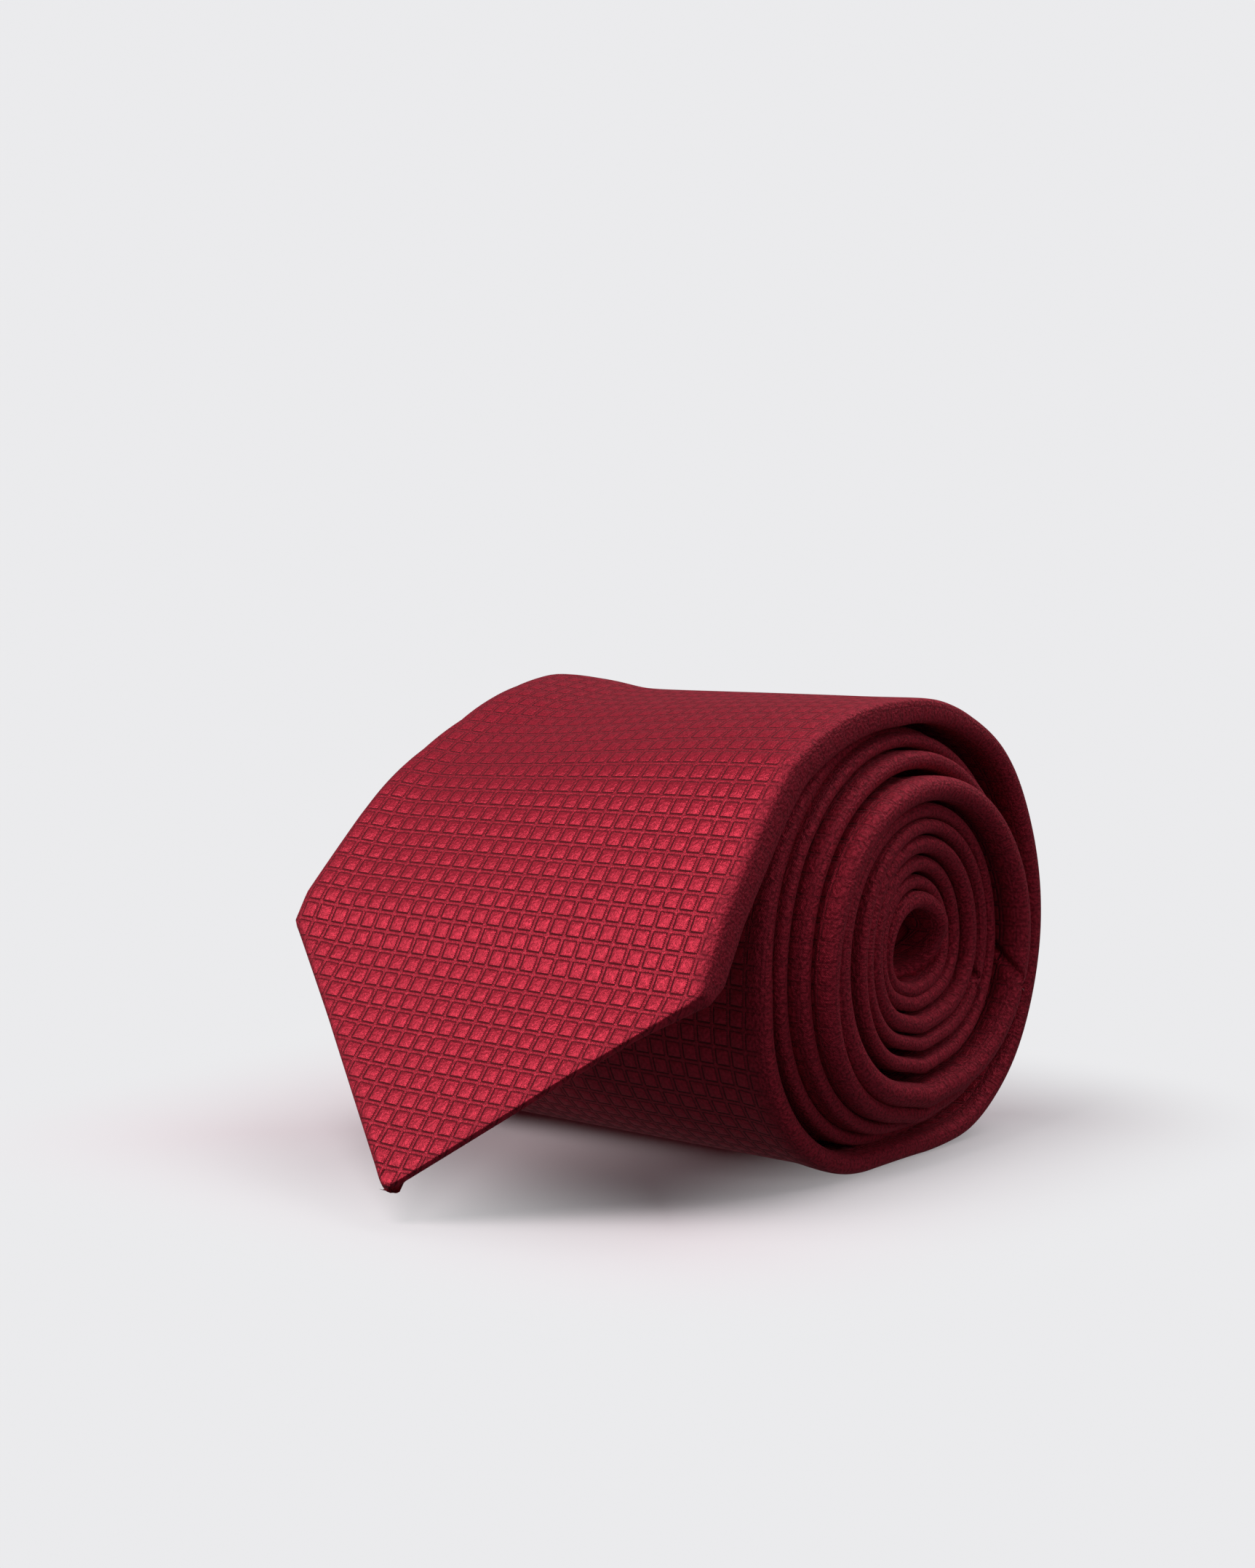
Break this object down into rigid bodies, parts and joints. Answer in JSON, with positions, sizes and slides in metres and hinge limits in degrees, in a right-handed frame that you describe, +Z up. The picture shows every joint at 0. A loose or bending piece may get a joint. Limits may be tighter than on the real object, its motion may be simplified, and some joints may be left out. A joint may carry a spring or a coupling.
{
  "type": "necktie",
  "caption": "Rolled men's necktie in a small-check jacquard, lined and interlined, with its wide blade end hanging free in front of the roll.",
  "frame": {"origin": "centre of the bounding box's bottom, on the surface that the roll rests on", "axes": "+X along the roll's axis, towards the aligned edges of the turns; -Y towards the free blade end's tip; +Z up"},
  "size_m": [0.08, 0.1192, 0.0732],
  "materials": {
    "shell": "satin jacquard with a small raised check",
    "interlining": "brushed wool",
    "lining": "plain satin",
    "thread": "twisted thread"
  },
  "bodies": {
    "roll": {"blade_shell": "shell", "neck_shell": "shell", "tail_shell": "shell", "keeper_loop": "shell", "interlining": "interlining", "tail_tipping": "lining", "blade_neck_seam": "thread", "neck_tail_seam": "thread", "slip_stitch": "thread", "tail_bar_tack": "thread", "keeper_stitches": "thread"},
    "blade_end": {"blade_end_shell": "shell", "blade_end_interlining": "interlining", "blade_tipping": "lining", "blade_tipping_seam": "thread", "blade_bar_tack": "thread", "blade_end_slip_stitch": "thread"}
  },
  "joints": [
    {"name": "blade_lift", "type": "hinge", "parent": "roll", "child": "blade_end", "pos_m": [0, 0.02026, 0.07318], "axis": [-1, 0, 0], "range_deg": [0, 80]}
  ]
}
